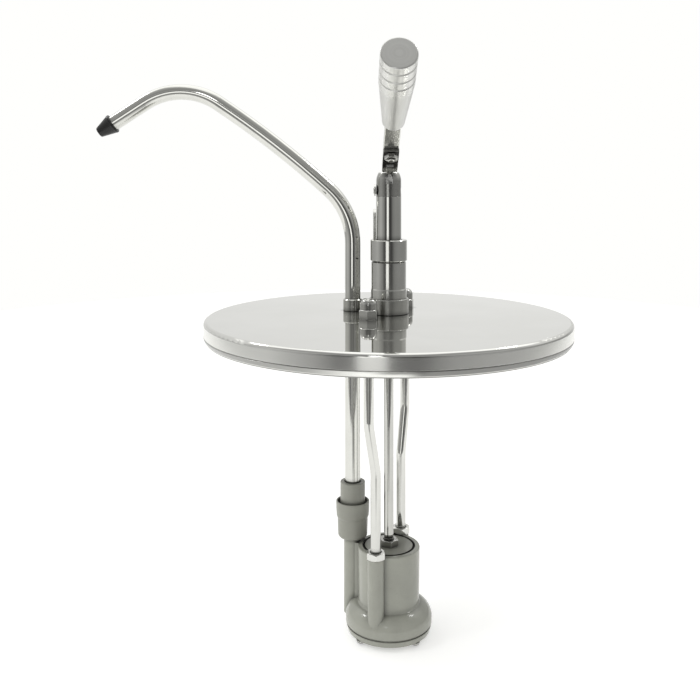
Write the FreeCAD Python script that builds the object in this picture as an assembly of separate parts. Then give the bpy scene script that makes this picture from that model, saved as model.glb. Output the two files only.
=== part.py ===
import FreeCAD, Part
import math
import os

# Lever condiment pump hung from a round stainless lid.
# Frame: origin on the lid's axis, in the plane of the seat land under the lid. +Z up, +X to the
# right and -Y to the front, where the lever's knob points. Heights written as TOP + h, or given
# with base=TOP, count from the lid's top face. All sizes are in millimetres.

V = FreeCAD.Vector
os.makedirs("parts", exist_ok=True)


def moved(point, dx, dy):
    return (point[0] + dx, point[1] + dy)


# ---- lid ----
LID_R = 115.0
SHEET = 1.2              # sheet thickness at the seat land
TOP = SHEET              # height of the lid's top face
LID_DROP = 13.0          # top face to the skirt's lower edge
LID_ROUND = 2.2          # outer radius of the rim's corner
HEM_H = 3.8              # height of the folded hem
SEAT_R = 100.0           # inner radius of the seat land
UNDERSIDE = 0.2          # underside of the disc inside the seat land
GAP = 0.02               # gap between faces that meet
CLAMP_Z = UNDERSIDE - GAP    # upper face of the parts tightened against the underside

# ---- vertical axes, (x, y) ----
ORIGIN = (0.0, 0.0)
PUMP = (1.5, 13.0)
PORT = (-23.3, 11.0)     # discharge axis from the pump axis
DISCHARGE = moved(PUMP, *PORT)
ROD_SHIFT = -0.8         # middle of the tie rods at the lid, from the pump axis along X
# each pair of tie rods: front one first
RODS_AT_LID = [moved(PUMP, ROD_SHIFT + side * 12.7, side * 23.3) for side in (-1, 1)]
ROD_OFFSETS = [(side * 9.0, side * 20.0) for side in (-1, 1)]   # at the body, from the pump axis
RODS_AT_BODY = [moved(PUMP, *offset) for offset in ROD_OFFSETS]
BRACKET_SCREW_X, BRACKET_SCREW_Y = 5.5, 48.0
BRACKET_SCREWS = [moved(PUMP, x, BRACKET_SCREW_Y) for x in (-BRACKET_SCREW_X, BRACKET_SCREW_X)]

# ---- sizes shared between groups ----
STUB_R = 9.6             # threaded stub of the lower sleeve, through the lid
STUB_HOLE_R = STUB_R + 0.1
PLUNGER_R = 3.1
ROD_R = 3.175            # tie rods
ROD_BORE_R = ROD_R + GAP
SCREW_R = 2.0            # bracket and lever screws
SCREW_HOLE_R = 2.2
SCREW_NUT_AF = 7.0
NUT_AF, NUT_H = 11.1, 4.0    # tie-rod and piston nuts
SPOUT_R, SPOUT_BORE_R = 5.1, 4.2
PIVOT_H = 79.5           # head pin above the lid
PIVOT_Z = TOP + PIVOT_H
PIN_R = 2.4
BODY_TOP = TOP - 150.2
SEAM = TOP - 198.4       # joint between pump body and base plate
BASE_BOTTOM = TOP - 203.2
BALL_R = 4.76            # both valve balls


# ---------------------------------------------------------------- helpers
def arc(middle, end):
    """Outline entry for an arc from the previous point through middle to end."""
    return ("arc", middle, end)


def quarter(start, end, centre):
    """Outline entry for a quarter round from start, the previous point, to end."""
    radius = math.hypot(start[0] - centre[0], start[1] - centre[1])
    dx = (start[0] + end[0]) / 2 - centre[0]
    dz = (start[1] + end[1]) / 2 - centre[1]
    scale = radius / math.hypot(dx, dz)
    return arc((centre[0] + dx * scale, centre[1] + dz * scale), end)


def outline_face(outline, place):
    """Face inside an outline of points and arcs; place turns a 2D point into a vector."""
    edges = []
    start = last = place(*outline[0])
    for entry in outline[1:]:
        if entry[0] == "arc":
            middle, end = place(*entry[1]), place(*entry[2])
            edges.append(Part.Arc(last, middle, end).toShape())
        else:
            end = place(*entry)
            edges.append(Part.makeLine(last, end))
        last = end
    if (start - last).Length > 1e-7:
        edges.append(Part.makeLine(last, start))
    return Part.Face(Part.Wire(edges))


def outward(solid):
    """The solid with its faces pointing outward."""
    if solid.Volume < 0:
        solid.reverse()
    return solid


def turned(outline, at=ORIGIN, base=0.0):
    """Solid of revolution about the vertical axis through at, from an (r, z) outline."""
    face = outline_face(outline, lambda r, z: V(r, 0, base + z))
    solid = outward(face.revolve(V(0, 0, 0), V(0, 0, 1), 360))
    solid.translate(V(at[0], at[1], 0))
    return solid


def yz_plate(outline, x0, x1, base=0.0):
    """Plate cut to a (y, z) outline between two x planes."""
    face = outline_face(outline, lambda y, z: V(x0, y, base + z))
    return face.extrude(V(x1 - x0, 0, 0))


def cylinder(radius, z0, z1, at=ORIGIN):
    return Part.makeCylinder(radius, z1 - z0, V(at[0], at[1], z0), V(0, 0, 1))


def cylinder_x(radius, x0, x1, y, z):
    return Part.makeCylinder(radius, x1 - x0, V(x0, y, z), V(1, 0, 0))


def polar(radius, degrees):
    angle = math.radians(degrees)
    return (radius * math.cos(angle), radius * math.sin(angle))


def hexagon(across_flats, z0, z1, at=ORIGIN, turn=0.0):
    """Hexagonal prism; turn 0 puts flats at +X and -X."""
    corner_r = across_flats / 2 / math.cos(math.pi / 6)
    corners = [V(*moved(at, *polar(corner_r, 30 + turn + 60 * i)), z0) for i in range(7)]
    return Part.Face(Part.makePolygon(corners)).extrude(V(0, 0, z1 - z0))


def nut(across_flats, z0, z1, at, bore, turn=0.0, sink=0.0):
    """Hex nut with chamfered corners; sink is the countersink's width at the top of the thread."""
    outer = across_flats / 2 / math.cos(math.pi / 6) + 0.1
    chamfer = 0.55
    envelope = turned([
        (0, z0), (across_flats / 2, z0), (outer, z0 + chamfer), (outer, z1 - chamfer),
        (across_flats / 2 - 0.1, z1), (0, z1)], at)
    solid = hexagon(across_flats, z0, z1, at, turn).common(envelope)
    if sink:
        solid = solid.cut(turned([
            (0, -sink), (bore - 0.1, -sink), (bore + sink + 0.2, 0.3), (0, 0.3)], at, base=z1))
    return solid.cut(cylinder(bore, z0 - 1, z1 + 1, at))


def at_pump(shape, height=0.0):
    """Move a shape built about the Z axis onto the pump axis."""
    shape.translate(V(PUMP[0], PUMP[1], height))
    return shape


def aimed(shape, base, direction):
    """Put a shape built along +Z at base, pointing along direction."""
    shape.Placement = FreeCAD.Placement(base, FreeCAD.Rotation(V(0, 0, 1), direction))
    return shape


def pump_washer(outer, bore, z0, z1):
    return at_pump(cylinder(outer, z0, z1).cut(cylinder(bore, z0 - 1, z1 + 1)))


def swept(edges, radius, start):
    """Round bar along joined edges that leave start vertically."""
    section = Part.Wire(Part.makeCircle(radius, start, V(0, 0, 1)))
    return Part.Wire(edges).makePipeShell([section], True, False)


def save(name, *shapes):
    """Write one piece as a STEP file: a single solid, or a compound of several."""
    solids = [solid for shape in shapes for solid in shape.Solids]
    piece = solids[0] if len(solids) == 1 else Part.makeCompound(solids)
    piece.exportStep("parts/" + name + ".step")


# ---------------------------------------------------------------- lid
def lid():
    skirt = TOP - LID_DROP
    hem = skirt + HEM_H
    round_r, round_z = LID_R - LID_ROUND, TOP - LID_ROUND
    inner = LID_R - SHEET
    solid = turned([
        (0, TOP), (round_r, TOP), quarter((round_r, TOP), (LID_R, round_z), (round_r, round_z)),
        # a shallow groove marks the hem's upper edge
        (LID_R, hem + 0.35), (LID_R - 0.35, hem), (LID_R, hem - 0.35),
        arc((LID_R - 0.62, hem - 2.2), (LID_R - 1.9, skirt)),
        quarter((LID_R - 1.9, skirt), (LID_R - 2.5, skirt + 0.6), (LID_R - 1.9, skirt + 0.6)),
        (LID_R - 2.5, hem - 0.3), (inner, hem + 0.3),
        (inner, round_z), quarter((inner, round_z), (round_r, 0), (round_r, round_z)),
        (SEAT_R, 0), (SEAT_R - 0.4, UNDERSIDE), (0, UNDERSIDE),
    ])
    holes = [(STUB_HOLE_R, PUMP), (SPOUT_R + 0.2, DISCHARGE)]
    holes += [(ROD_R + 0.2, rod) for rod in RODS_AT_LID]
    holes += [(SCREW_HOLE_R, screw) for screw in BRACKET_SCREWS]
    for radius, at in holes:
        solid = solid.cut(cylinder(radius, -5, 5, at))
    return solid


save("lid", lid())

# ---------------------------------------------------------------- column
RING_R, RING_H = 12.8, 9.8
SLEEVE_R, SLEEVE_FOOT_R = 11.3, 11.6
SLEEVE_BORE = 8.6
SLEEVE_TOP = TOP + 33.4
SPIGOT_R, SPIGOT_TOP = 10.3, TOP + 38.0     # neck of the lower sleeve inside the upper one
GUIDE_R = 11.9                              # upper sleeve
GUIDE_Z0, GUIDE_Z1 = 34.0, 47.6             # its ends, above the lid
TUBE_R, TUBE_BORE_R = 8.2, 7.05             # plunger tube
TUBE_Z0 = 36.0                              # its lower end, above the lid

save("column_base_ring", turned([
    (STUB_HOLE_R, 0), (RING_R - 0.3, 0), (RING_R, 0.3), (RING_R, RING_H - 0.6),
    quarter((RING_R, RING_H - 0.6), (RING_R - 0.6, RING_H), (RING_R - 0.6, RING_H - 0.6)),
    (STUB_HOLE_R, RING_H),
], PUMP, base=TOP))

save("lower_sleeve", turned([
    (SLEEVE_BORE, -7.8), (7.2, -7.8), (7.2, -9.0), (STUB_R - 0.5, -9.0), (STUB_R, -8.5),
    (STUB_R, TOP + RING_H), (SLEEVE_FOOT_R, TOP + RING_H), (SLEEVE_FOOT_R, TOP + 15.4),
    (SLEEVE_R, TOP + 16.2), (SLEEVE_R, SLEEVE_TOP - 0.4), (SLEEVE_R - 0.4, SLEEVE_TOP),
    (SPIGOT_R, SLEEVE_TOP), (SPIGOT_R, SPIGOT_TOP), (SLEEVE_BORE, SPIGOT_TOP),
], PUMP))

save("upper_sleeve", turned([
    (10.35, GUIDE_Z0), (GUIDE_R - 0.4, GUIDE_Z0), (GUIDE_R, GUIDE_Z0 + 0.4),
    (GUIDE_R, GUIDE_Z1 - 0.4), (GUIDE_R - 0.4, GUIDE_Z1), (8.9, GUIDE_Z1),
    (8.5, GUIDE_Z1 - 0.4), (8.5, 46.4), (10.35, 46.4),
], PUMP, base=TOP))

save("upper_guide_bushing", turned([
    (TUBE_R + 0.06, 38.2), (10.25, 38.2), (10.25, 46.2), (TUBE_R + 0.46, 46.2),
    (TUBE_R + 0.06, 45.8),
], PUMP, base=TOP))

save("lower_guide_bushing", turned([
    (PLUNGER_R + 0.06, -7.7), (SLEEVE_BORE - 0.1, -7.7), (SLEEVE_BORE - 0.1, -1.0),
    (PLUNGER_R + 0.5, -1.0), (PLUNGER_R + 0.06, -1.5),
], PUMP))

save("spring_washer", pump_washer(SLEEVE_BORE - 0.2, PLUNGER_R + 0.3, -0.95, 0.15))


def return_spring():
    """Spring with ground ends, between the washer and the foot of the plunger tube."""
    coil_r, wire_r, pitch = 6.9, 0.65, 4.9
    z0, z1 = 0.2, TOP + TUBE_Z0 - 0.05
    turns = math.ceil((z1 - z0 + 2.0) / pitch)
    helix = Part.makeHelix(pitch, turns * pitch, coil_r)
    tangent = V(0, 1, pitch / (2 * math.pi * coil_r))
    section = Part.Wire(Part.makeCircle(wire_r, V(coil_r, 0, 0), tangent))
    spring = Part.Wire(helix).makePipeShell([section], True, True)
    # the coil starts below the washer and runs past the tube, so the trim flattens both ends
    spring.translate(V(0, 0, z0 - 1.0))
    return at_pump(spring.common(cylinder(coil_r + 2, z0, z1)))


save("return_spring", return_spring())
save("column_washer", pump_washer(14.5, STUB_HOLE_R, -1.2, CLAMP_Z))
save("column_locknut", nut(25.4, -7.2, -1.2 - GAP, PUMP, STUB_R + GAP))

# ---------------------------------------------------------------- fulcrum bracket, behind the column
# (y, z) from the pump axis and the lid's top face
FULCRUM_Y, FULCRUM_Z = 32.0, PIVOT_H - 19.0
FULCRUM_R = 3.0
EAR_X0, EAR_X1 = 7.2, 9.2     # inner and outer face of the ears
EAR_TIP_R = 5.5
BACK_Y0, BACK_T = 37.5, 2.5   # upright back plate; the foot has the same thickness
BACK_Y1 = BACK_Y0 + BACK_T
BACK_H, FOOT_L = 48.0, 16.5


def upright_edges(shape, y):
    """Vertical edges in the plane at y."""
    return [edge for edge in shape.Edges
            if edge.BoundBox.XLength < 1e-4 and edge.BoundBox.YLength < 1e-4
            and abs(edge.BoundBox.YMin - y) < 1e-4]


def fulcrum_bracket():
    ear = [
        (31.0, 0.0), (31.0, 14.0), (26.5, 20.0), (FULCRUM_Y - EAR_TIP_R, FULCRUM_Z),
        arc((FULCRUM_Y, FULCRUM_Z + EAR_TIP_R), (FULCRUM_Y + EAR_TIP_R, FULCRUM_Z)),
        (BACK_Y1, 50.0), (BACK_Y1, 0.0),
    ]
    corner, width = V(-EAR_X1, BACK_Y0, 0), 2 * EAR_X1
    bracket = yz_plate(ear, -EAR_X1, -EAR_X0).fuse(yz_plate(ear, EAR_X0, EAR_X1))
    bracket = bracket.fuse(Part.makeBox(width, BACK_T, BACK_H, corner))
    bracket = bracket.fuse(Part.makeBox(width, FOOT_L, BACK_T, corner)).removeSplitter()
    bends = [edge for edge in upright_edges(bracket, BACK_Y1)
             if edge.BoundBox.ZLength > 40
             and abs(abs(edge.BoundBox.XMin) - EAR_X1) < 1e-4]
    # the bracket keeps sharp rear bends if the kernel can't round them
    try:
        rounded = bracket.makeFillet(1.8, bends)
        if rounded.isValid():
            bracket = rounded
    except Exception:
        pass
    foot_corners = [edge for edge in upright_edges(bracket, BACK_Y0 + FOOT_L)
                    if edge.BoundBox.ZLength < 2.6]
    bracket = bracket.makeFillet(3.0, foot_corners)
    for x in (-BRACKET_SCREW_X, BRACKET_SCREW_X):
        bracket = bracket.cut(cylinder(SCREW_HOLE_R, -1, 5, (x, BRACKET_SCREW_Y)))
    bracket = bracket.cut(cylinder_x(FULCRUM_R + GAP, -12, 12, FULCRUM_Y, FULCRUM_Z))
    return at_pump(bracket, TOP)


def fulcrum_pin():
    pin = cylinder_x(FULCRUM_R, -EAR_X1, EAR_X1, FULCRUM_Y, FULCRUM_Z)
    ends = [edge for edge in pin.Edges if edge.BoundBox.XLength < 1e-6]
    return at_pump(pin.makeChamfer(0.4, ends), TOP)


def fulcrum_spacer(x0, x1):
    bore = cylinder_x(FULCRUM_R + 0.05, x0 - 1, x1 + 1, FULCRUM_Y, FULCRUM_Z)
    return at_pump(cylinder_x(5.0, x0, x1, FULCRUM_Y, FULCRUM_Z).cut(bore), TOP)


def bracket_screw(at):
    """Button-head screw with a hexagonal socket."""
    screw = turned([
        (0, TOP + 5.1), (1.4, TOP + 5.1), arc((3.1, TOP + 4.5), (4.0, TOP + BACK_T)),
        (SCREW_R, TOP + BACK_T), (SCREW_R, -6.4), (1.6, -6.8), (0, -6.8)], at)
    return screw.cut(hexagon(2.5, TOP + 3.4, TOP + 6, at))


save("fulcrum_bracket", fulcrum_bracket())
save("fulcrum_pin", fulcrum_pin())
save("fulcrum_spacers", fulcrum_spacer(-7.15, -2.45), fulcrum_spacer(2.45, 7.15))
save("bracket_screws", *[bracket_screw(at) for at in BRACKET_SCREWS])
save("bracket_nuts",
     *[nut(SCREW_NUT_AF, -3.1, CLAMP_Z, at, SCREW_R + GAP) for at in BRACKET_SCREWS])

# ---------------------------------------------------------------- head
CAP_R, CAP_Z0, CAP_Z1 = 8.1, 75.4, 91.3     # heights above the lid
CAP_SHOULDER = 84.6
CAP_SPIGOT_R = TUBE_BORE_R - 0.05
SLOT_W = 4.8             # slot for the lever yoke in cap and tube


def head_slot():
    """Cutter for the yoke's slot; heights count from the head pin."""
    half = SLOT_W / 2
    # the front ends on a slope just clear of the tongue at the bottom of the lever's swing
    front = yz_plate([(2.1, -2.0), (2.1, 14), (-12, 14), (-12, 8.84), (-2.23, -2.01)],
                     -half, half, base=PIVOT_Z)
    pocket = cylinder_x(4.7, -half, half, 0, PIVOT_Z)
    # the rear stays closed above the arm's highest swing
    rear = yz_plate([(-2.4, -5.2), (0, -6.4), (12, -14.5), (12, 7.4), (-2.4, 7.4)],
                    -half, half, base=PIVOT_Z)
    return front.fuse(pocket).fuse(rear)


def head_cap():
    cap = turned([
        (0, 62.5), (CAP_SPIGOT_R - 0.4, 62.5), (CAP_SPIGOT_R, 62.9), (CAP_SPIGOT_R, CAP_Z0),
        (CAP_R, CAP_Z0), (CAP_R, CAP_SHOULDER),
        arc((CAP_R - 0.33, CAP_SHOULDER + 3.4), (6.7, CAP_Z1 - 0.6)),
        arc((6.35, CAP_Z1 - 0.16), (5.9, CAP_Z1)), (0, CAP_Z1),
    ], base=TOP)
    cap = cap.cut(head_slot()).cut(cylinder_x(PIN_R + 0.01, -12, 12, 0, PIVOT_Z))
    return at_pump(cap.cut(cylinder(PLUNGER_R + GAP, TOP + 60, TOP + 68.0)))


def head_tube():
    tube = turned([
        (TUBE_BORE_R, TUBE_Z0), (TUBE_R - 0.3, TUBE_Z0), (TUBE_R, TUBE_Z0 + 0.3),
        (TUBE_R, CAP_Z0 - GAP), (TUBE_BORE_R, CAP_Z0 - GAP)], base=TOP)
    return at_pump(tube.cut(head_slot()))


def head_pin():
    """Pin with a clip groove and a chamfer at its left end."""
    groove = cylinder_x(PIN_R + 1, -9.35, -8.55, 0, PIVOT_Z)
    groove = groove.cut(cylinder_x(PIN_R - 0.35, -10, -8, 0, PIVOT_Z))
    left = -9.9
    pin = cylinder_x(PIN_R, left, 7.6, 0, PIVOT_Z).cut(groove)
    left_rim = [edge for edge in pin.Edges
                if edge.Length > 14 and abs(edge.BoundBox.XMin - left) < 1e-3]
    return at_pump(pin.makeChamfer(0.3, left_rim))


def head_pin_clip():
    """Clip in the pin's groove, open at the bottom."""
    clip = cylinder_x(3.9, -9.3, -8.6, 0, PIVOT_Z)
    clip = clip.cut(cylinder_x(PIN_R - 0.33, -10, -8, 0, PIVOT_Z))
    return at_pump(clip.cut(Part.makeBox(2, 2.6, 6, V(-10, -1.3, PIVOT_Z - 6))))


save("head_cap", head_cap())
save("head_tube", head_tube())
save("tube_end_plug", turned([
    (PLUNGER_R + GAP, TUBE_Z0), (TUBE_BORE_R - GAP, TUBE_Z0),
    (TUBE_BORE_R - GAP, TUBE_Z0 + 5.0), (PLUNGER_R + GAP, TUBE_Z0 + 5.0)], PUMP, base=TOP))
save("head_pin", head_pin())
save("head_pin_clip", head_pin_clip())

# ---------------------------------------------------------------- plunger rod and piston
PISTON_TOP = BODY_TOP         # at rest the piston is flush with the body
PISTON_H = 12.0
PISTON_R = 16.2
PISTON_BORE_R = PLUNGER_R + 0.01
SEAL_GROOVE_R = 13.4
SEAL_R = 16.36


def plunger_rod():
    bottom = PISTON_TOP - PISTON_H
    thread_z = PISTON_TOP + NUT_H
    rod = turned([
        (0, bottom + 0.2), (PLUNGER_R - 0.3, bottom + 0.2), (PLUNGER_R, bottom + 0.5),
        (PLUNGER_R, thread_z + 2.6), (PLUNGER_R, TOP + 67.4),
        (PLUNGER_R - 0.5, TOP + 67.9), (0, TOP + 67.9)], PUMP)
    # thread showing above the piston nut
    for i in range(4):
        rod = rod.cut(turned([
            (PLUNGER_R + 0.5, -0.42), (PLUNGER_R - 0.35, 0), (PLUNGER_R + 0.5, 0.42),
        ], PUMP, base=thread_z + 0.55 + 0.8 * i))
    return rod


save("plunger_rod", plunger_rod())
save("piston", turned([
    (PISTON_BORE_R, 0), (15.5, 0), (PISTON_R, -0.9), (PISTON_R, -5.0), (SEAL_GROOVE_R, -5.0),
    (SEAL_GROOVE_R, -8.6), (PISTON_R, -8.6), (PISTON_R, -PISTON_H + 0.5), (15.7, -PISTON_H),
    (PISTON_BORE_R, -PISTON_H)], PUMP, base=PISTON_TOP))
save("piston_seal", turned([
    (13.45, -8.5), (15.6, -8.5), arc((16.15, -8.25), (SEAL_R, -7.7)), (SEAL_R, -7.2),
    (15.9, -6.8), (SEAL_R, -6.4), (SEAL_R, -5.9), arc((16.15, -5.35), (15.6, -5.1)),
    (13.45, -5.1)], PUMP, base=PISTON_TOP))
save("piston_nut", nut(NUT_AF, PISTON_TOP, PISTON_TOP + NUT_H, PUMP, PLUNGER_R + GAP,
                       turn=12.0, sink=0.8))

# ---------------------------------------------------------------- lever
LEVER_ANGLE = math.radians(27.0)      # bar above horizontal at rest
BAR_REAR = (-10.0, TOP + 93.6)        # (y, z) of the rear end of the bar's reference line
BAR_L, BAR_W = 57.4, 9.7              # length from the rear end to the knob
BAR_BOTTOM, BAR_TOP = -1.0, 3.0       # faces of the bar across its reference line
BAR_MID = 1.0                         # line of the tang and the knob
TANG_R = 2.5
PAD_BOTTOM = -3.0
LEVER_SCREW_T = 23.5                  # screw along the bar
TONGUE_T = 4.4                        # thickness of the yoke's plate
ARM_ANGLE = math.radians(-31.39)      # centre line of the arm and its slot
ARM_BOSS_R = 4.2
ARM_SLOT_HALF = 3.75                  # half width of the slot that rides on the fulcrum pin
ARM_END_R = ARM_SLOT_HALF + 2.6
ARM_SLOT_0, ARM_SLOT_1 = 31.4, 37.9   # centres of the slot's round ends, from the head pin
KNOB_L, KNOB_R = 69.1, 9.95
BAR_DIR = V(0, -math.cos(LEVER_ANGLE), math.sin(LEVER_ANGLE))
BAR_NORMAL = V(0, math.sin(LEVER_ANGLE), math.cos(LEVER_ANGLE))


def on_lever(t, n):
    """(y, z) of a point t forward along the bar and n above its reference line."""
    return (BAR_REAR[0] - t * math.cos(LEVER_ANGLE) + n * math.sin(LEVER_ANGLE),
            BAR_REAR[1] + t * math.sin(LEVER_ANGLE) + n * math.cos(LEVER_ANGLE))


def lever_vector(t, n, x=0.0):
    return V(x, *on_lever(t, n))


def on_arm(d, h):
    """(y, z) of a point d rearward along the arm from the head pin and h above it."""
    return (d * math.cos(ARM_ANGLE) - h * math.sin(ARM_ANGLE),
            PIVOT_Z + d * math.sin(ARM_ANGLE) + h * math.cos(ARM_ANGLE))


def lever_block(t0, t1, n0, n1):
    """Block as wide as the bar."""
    return yz_plate([on_lever(t0, n0), on_lever(t1, n0), on_lever(t1, n1), on_lever(t0, n1)],
                    -BAR_W / 2, BAR_W / 2)


def lever_screw_hole():
    return Part.makeCylinder(SCREW_R + 0.05, 14, lever_vector(LEVER_SCREW_T, -8), BAR_NORMAL)


def lever_bar():
    """Flat bar with its lower rear edge rounded and a round tang inside the knob."""
    def at_lower_rear(edge):
        return min((vertex.Point - lever_vector(0, BAR_BOTTOM, vertex.Point.x)).Length
                   for vertex in edge.Vertexes) < 1e-4

    bar = lever_block(0, BAR_L - 0.2, BAR_BOTTOM, BAR_TOP)
    # edges as long as the bar is thick, so the ones that stand across its thickness
    rear = [edge for edge in bar.Edges if 3.9 < edge.Length < 4.1 and at_lower_rear(edge)]
    bar = bar.makeFillet(2.5, rear)
    sides = [edge for edge in bar.Edges if edge.Length > 35 and edge.BoundBox.XLength < 1e-4]
    bar = bar.makeFillet(0.7, sides)
    bar = bar.fuse(Part.makeCylinder(TANG_R, 24.0, lever_vector(BAR_L - 2.0, BAR_MID), BAR_DIR))
    return at_pump(bar.cut(lever_screw_hole()))


def lever_yoke():
    """Pad under the bar, tongue down to the head pin, arm back to the fulcrum slot."""
    half = TONGUE_T / 2
    pad = lever_block(0.6, 28.0, BAR_BOTTOM, PAD_BOTTOM).cut(lever_screw_hole())
    arm = yz_plate([
        on_arm(0, ARM_BOSS_R), on_arm(ARM_SLOT_0 - 2, ARM_END_R), on_arm(ARM_SLOT_1, ARM_END_R),
        arc(on_arm(ARM_SLOT_1 + ARM_END_R, 0), on_arm(ARM_SLOT_1, -ARM_END_R)),
        on_arm(ARM_SLOT_0 - 2, -ARM_END_R), on_arm(0, -ARM_BOSS_R)], -half, half)
    boss = cylinder_x(ARM_BOSS_R, -half, half, 0, PIVOT_Z)
    # the tongue stands straight up out of the cap, then turns forward under the bar
    tongue = yz_plate([
        (1.7, PIVOT_Z - 2.0), (1.7, PIVOT_Z + 15.0), (-8.3, PIVOT_Z + 15.6),
        (-9.6, PIVOT_Z + 12.9), on_lever(0.9, -1.8), on_lever(6.0, -2.0), on_lever(11.0, -2.6),
        on_lever(10.0, -4.2), (-12.6, PIVOT_Z + 10.4), (-2.6, PIVOT_Z + 10.2),
        (-2.6, PIVOT_Z + 1.0), (-1.0, PIVOT_Z - 2.0)], -half, half)
    slot = yz_plate([
        on_arm(ARM_SLOT_0, ARM_SLOT_HALF), on_arm(ARM_SLOT_1, ARM_SLOT_HALF),
        arc(on_arm(ARM_SLOT_1 + ARM_SLOT_HALF, 0), on_arm(ARM_SLOT_1, -ARM_SLOT_HALF)),
        on_arm(ARM_SLOT_0, -ARM_SLOT_HALF),
        arc(on_arm(ARM_SLOT_0 - ARM_SLOT_HALF, 0), on_arm(ARM_SLOT_0, ARM_SLOT_HALF))], -5, 5)
    yoke = arm.fuse([boss, tongue, pad]).removeSplitter()
    yoke = yoke.cut(cylinder_x(PIN_R + 0.05, -5, 5, 0, PIVOT_Z))
    return at_pump(yoke.cut(slot))


def lever_screw():
    screw = turned([
        (0, 4.9), (1.2, 4.9), arc((2.9, 4.2), (3.6, BAR_TOP)), (SCREW_R, BAR_TOP),
        (SCREW_R, -7.0), (1.6, -7.4), (0, -7.4)])
    return at_pump(aimed(screw, lever_vector(LEVER_SCREW_T, 0), BAR_NORMAL))


def lever_nut():
    height = 3.2
    solid = hexagon(SCREW_NUT_AF, 0, height, turn=30.0).common(turned([
        (0, 0), (3.9, 0), (4.1, 0.3), (4.1, 2.75), (3.4, height), (0, height)]))
    solid = solid.cut(cylinder(SCREW_R + GAP, -1, 4))
    solid = solid.cut(turned([(0, 2.4), (1.9, 2.4), (2.8, 3.3), (0, 3.3)]))
    return at_pump(aimed(solid, lever_vector(LEVER_SCREW_T, PAD_BOTTOM), BAR_NORMAL * -1.0))


def knob():
    """Tapered grip with three grooves; its axis runs from the bar (0) to the face (KNOB_L)."""
    outline = [
        (0, 0.0), (5.5, 0.0), arc((6.32, 0.28), (6.68, 1.1)), (9.74, KNOB_L - 29.0),
        arc((9.90, KNOB_L - 27.8), (KNOB_R, KNOB_L - 26.4)),
    ]
    half_width, depth = 0.8, 0.75
    half_floor = half_width * 0.45
    for from_face in (20.8, 13.8, 6.2):
        s = KNOB_L - from_face
        outline += [(KNOB_R, s - half_width), (KNOB_R - depth, s - half_floor),
                    (KNOB_R - depth, s + half_floor), (KNOB_R, s + half_width)]
    rim = (9.92, KNOB_L - 0.8)
    outline += [rim, quarter(rim, (9.12, KNOB_L), (9.12, KNOB_L - 0.8)), (0, KNOB_L)]
    solid = turned(outline).cut(cylinder(TANG_R + GAP, -1, 23.0))
    return at_pump(aimed(solid, lever_vector(BAR_L, BAR_MID), BAR_DIR))


save("lever_bar", lever_bar())
save("lever_yoke", lever_yoke())
save("lever_screw", lever_screw())
save("lever_nut", lever_nut())
save("knob", knob())

# ---------------------------------------------------------------- tie rods
JOG_Z0, JOG_Z1 = TOP - 67.0, TOP - 97.0
JOG_BEND_R = 25.0
ACORN_HEX_H, ACORN_H = 5.7, 13.0


def tie_rod(upper, lower):
    """Rod that jogs sideways from its place at the lid to its place at the body."""
    points = [V(*upper, TOP + ACORN_HEX_H + 3.0), V(*upper, JOG_Z0), V(*lower, JOG_Z1),
              V(*lower, BODY_TOP - 24.0)]
    edges, last = [], points[0]
    for i in (1, 2):
        before = (points[i] - points[i - 1]).normalize()
        after = (points[i + 1] - points[i]).normalize()
        half_turn = before.getAngle(after) / 2
        setback = JOG_BEND_R * math.tan(half_turn)
        start, end = points[i] - before * setback, points[i] + after * setback
        inward = (after - before).normalize()
        centre = points[i] + inward * (JOG_BEND_R / math.cos(half_turn))
        edges.append(Part.makeLine(last, start))
        edges.append(Part.Arc(start, centre - inward * JOG_BEND_R, end).toShape())
        last = end
    edges.append(Part.makeLine(last, points[3]))
    return outward(swept(edges, ROD_R, points[0]))


def acorn_nut(at):
    hex_part = hexagon(NUT_AF, TOP, TOP + ACORN_HEX_H, at, -10.0).common(turned([
        (0, 0), (6.0, 0), (6.6, 0.6), (6.6, ACORN_HEX_H - 0.7), (5.6, ACORN_HEX_H),
        (0, ACORN_HEX_H)], at, base=TOP))
    dome = turned([
        (0, ACORN_HEX_H - 1.0), (5.3, ACORN_HEX_H - 1.0), (5.3, 8.8),
        arc((4.25, 11.7), (1.6, ACORN_H - 0.1)), (0, ACORN_H)], at, base=TOP)
    return hex_part.fuse(dome).cut(cylinder(ROD_BORE_R, TOP - 1, TOP + ACORN_HEX_H + 3.2, at))


save("tie_rod_front", tie_rod(RODS_AT_LID[0], RODS_AT_BODY[0]))
save("tie_rod_rear", tie_rod(RODS_AT_LID[1], RODS_AT_BODY[1]))
save("acorn_nuts", *[acorn_nut(at) for at in RODS_AT_LID])
save("tie_rod_lid_nuts",
     *[nut(NUT_AF, CLAMP_Z - 5.5, CLAMP_Z, at, ROD_BORE_R, turn=8.0) for at in RODS_AT_LID])
save("tie_rod_body_nuts",
     *[nut(NUT_AF, BODY_TOP, BODY_TOP + NUT_H, at, ROD_BORE_R, sink=0.8) for at in RODS_AT_BODY])

# ---------------------------------------------------------------- discharge
SPOUT_Z0 = TOP - 135.5
SPOUT_RISE = 44.5             # straight rise above the lid
SPOUT_BENDS = [               # radius, turn in radians; each turns on to the left and down
    (47.3, math.radians(47.62)),
    (608.2, 93.53 / 608.2),
    (43.84, math.radians(66.65)),
]
SPOUT_TIP_L = 26.8
STUB_TOP = TOP - 147.5        # outlet stub, the outlet ball's seat
STUB_FOOT = BODY_TOP - 6.0


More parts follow.
